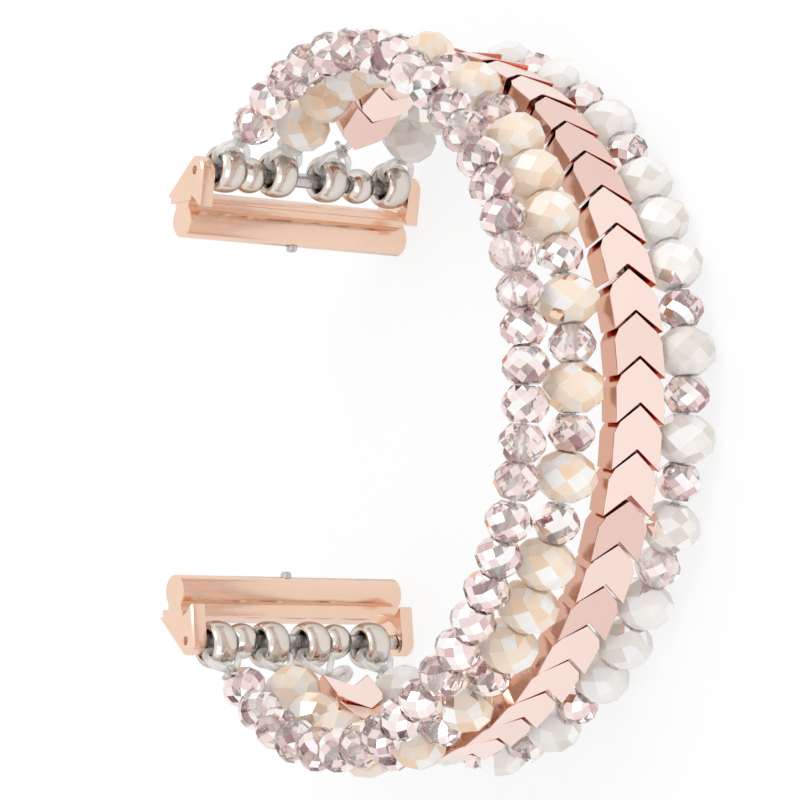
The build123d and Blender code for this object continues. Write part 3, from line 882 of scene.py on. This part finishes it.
adapterEdge = {"bevel": 0.14, "segments": 2, "angle": 28, "flatWithin": 1, "sharpFrom": 35}
for end in ends:
    node = frame["nodes"][f"{end}_adapter"]
    shape = bmesh.new()
    shape.from_mesh(node.data)
    bmesh.ops.remove_doubles(shape, verts=shape.verts, dist=weldDistance)
    bmesh.ops.dissolve_limit(shape, angle_limit=math.radians(adapterEdge["flatWithin"]),
                             verts=shape.verts, edges=shape.edges)
    mesh = bpy.data.meshes.new(f"{end}_lug_piece")
    shape.to_mesh(mesh)
    shape.free()
    thing = bpy.data.objects.new(f"{end}_lug_rough", mesh)
    scene.collection.objects.link(thing)
    mesh.materials.append(lugRoseGold)
    bevel = thing.modifiers.new("bevel", "BEVEL")
    bevel.width = adapterEdge["bevel"] * mm
    bevel.segments = adapterEdge["segments"]
    bevel.limit_method = "ANGLE"
    bevel.angle_limit = math.radians(adapterEdge["angle"])
    piece = applied(thing, f"{end}_lug_piece")
    piece.data.shade_smooth()
    piece.data.set_sharp_from_angle(angle=math.radians(adapterEdge["sharpFrom"]))
    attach(piece, f"{end}_lug")
    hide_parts(f"{end}_adapter")

for name, node in frame["nodes"].items():
    if any(word in name for word in ("bar_", "latch_")) and "spring" not in name:
        node.data.materials.clear()
        node.data.materials.append(steel)
print("adapters made")


# Coil springs: a bar spring is pressed from both ends, a latch spring from its button's end

coilSpring = {"wire": 0.11, "sides": 6, "steps": 16, "barTurns": 22.0, "latchTurns": 4.0}


def coilTree():
    tree, given = newTree("coil_spring", Turns="Float", Radius="Float", Length="Float",
                          Thickness="Float", Steps="Int", Sides="Int", Finish="Material")
    spiral = tree.nodes.new("GeometryNodeCurveSpiral")
    for name, socket in (("Steps", "Resolution"), ("Turns", "Rotations"), ("Radius", "Start Radius"),
                         ("Radius", "End Radius"), ("Length", "Height")):
        tree.links.new(given.outputs[name], spiral.inputs[socket])
    return endTube(tree, given, spiral.outputs["Curve"])


coilTurns = coilTree()


def springPiece(name, base, aim, outer, length, turns, end, node):
    # A coil from its fixed end at base towards aim
    host = meshObject(name + "_start", [(0, 0, 0)], [])
    modifier = host.modifiers.new("coil", "NODES")
    modifier.node_group = coilTurns
    wire = coilSpring["wire"] * mm
    setInputs(modifier, Turns=turns, Radius=outer - wire, Length=length - 2 * wire, Thickness=wire,
              Steps=coilSpring["steps"], Sides=coilSpring["sides"], Finish=steel)
    piece = applied(host, name)
    turn = Vector((0, 0, 1)).rotation_difference(aim).to_matrix().to_4x4()
    piece.data.transform(Matrix.Translation(base + aim * wire) @ turn)
    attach(piece, f"{end}_lug")
    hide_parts(node)
    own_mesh(piece)


for end in ends:
    node = f"{end}_bar_spring"
    low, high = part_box(node)
    for name, sign in (("upper", 1), ("lower", -1)):
        springPiece(f"{node}_{name}", (low + high) / 2, Vector((0, 0, sign)), (high.x - low.x) / 2,
                    (high.z - low.z) / 2, coilSpring["barTurns"], end, node)
    node = f"{end}_latch_spring"
    low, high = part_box(node)
    joint = f"{end}_latch_button_slide"
    inward = Vector(hinges[joint]["axis"])
    middle, length = (low + high) / 2, high.y - low.y
    springPiece(f"{node}_coil", middle + inward * length / 2, -inward, (high.x - low.x) / 2, length,
                coilSpring["latchTurns"], end, node)
print("springs made")


# Floor, light and background

studio = {"world": 0.86, "floorHalf": 1.5, "floorWhite": 0.95, "floorShade": 0.2,
          "lampsAimAt": (0, 0, 0.01)}
lamps = {
    "key": {"place": (0.12, 0.25, 0.38), "size": 0.25, "watts": 0.6},
    "fill": {"place": (0.35, -0.2, 0.2), "size": 0.3, "watts": 0.25},
}


def seesBackground(tree, leftDark):
    # One for rays that see the background, less what keeps the shadow
    path = tree.nodes.new("ShaderNodeLightPath")
    total = path.outputs["Is Camera Ray"]
    for name in ("Is Glossy Ray", "Is Transmission Ray"):
        add = tree.nodes.new("ShaderNodeMath")
        add.operation = "MAXIMUM"
        tree.links.new(total, add.inputs[0])
        tree.links.new(path.outputs[name], add.inputs[1])
        total = add.outputs[0]
    scale = tree.nodes.new("ShaderNodeMath")
    scale.operation = "MULTIPLY"
    scale.inputs[1].default_value = 1 - leftDark
    tree.links.new(total, scale.inputs[0])
    return scale.outputs[0]


def setFloor():
    size, white = studio["floorHalf"], studio["floorWhite"]
    floor = meshObject("floor", [(-size, -size, 0), (size, -size, 0), (size, size, 0), (-size, size, 0)],
                       [[0, 1, 2, 3]])
    material = bpy.data.materials.new("floor_white")
    material.use_nodes = True
    tree = material.node_tree
    tree.nodes.clear()
    out = tree.nodes.new("ShaderNodeOutputMaterial")
    paint = tree.nodes.new("ShaderNodeBsdfDiffuse")
    paint.inputs["Color"].default_value = (white, white, white, 1)
    glow = tree.nodes.new("ShaderNodeEmission")
    mix = tree.nodes.new("ShaderNodeMixShader")
    tree.links.new(seesBackground(tree, studio["floorShade"]), mix.inputs["Fac"])
    tree.links.new(paint.outputs[0], mix.inputs[1])
    tree.links.new(glow.outputs[0], mix.inputs[2])
    tree.links.new(mix.outputs[0], out.inputs["Surface"])
    floor.data.materials.append(material)


def setWorld():
    world = bpy.data.worlds.new("studio")
    world.use_nodes = True
    tree = world.node_tree
    tree.nodes.clear()
    out = tree.nodes.new("ShaderNodeOutputWorld")
    soft, clear = tree.nodes.new("ShaderNodeBackground"), tree.nodes.new("ShaderNodeBackground")
    for background in (soft, clear):
        background.inputs["Color"].default_value = (1, 1, 1, 1)
    soft.inputs["Strength"].default_value = studio["world"]
    mix = tree.nodes.new("ShaderNodeMixShader")
    tree.links.new(seesBackground(tree, 0.0), mix.inputs["Fac"])
    tree.links.new(soft.outputs[0], mix.inputs[1])
    tree.links.new(clear.outputs[0], mix.inputs[2])
    tree.links.new(mix.outputs[0], out.inputs["Surface"])
    scene.world = world


def addLamp(name, place, size, watts):
    data = bpy.data.lights.new(name, "AREA")
    data.size = size
    data.energy = watts
    lamp = bpy.data.objects.new(name, data)
    scene.collection.objects.link(lamp)
    lamp.location = place
    aim = Vector(studio["lampsAimAt"]) - Vector(place)
    lamp.rotation_euler = aim.to_track_quat("-Z", "Y").to_euler()


setFloor()
setWorld()
for name, lamp in lamps.items():
    addLamp(name, **lamp)
scene.view_settings.view_transform = "Standard"
print("studio set")
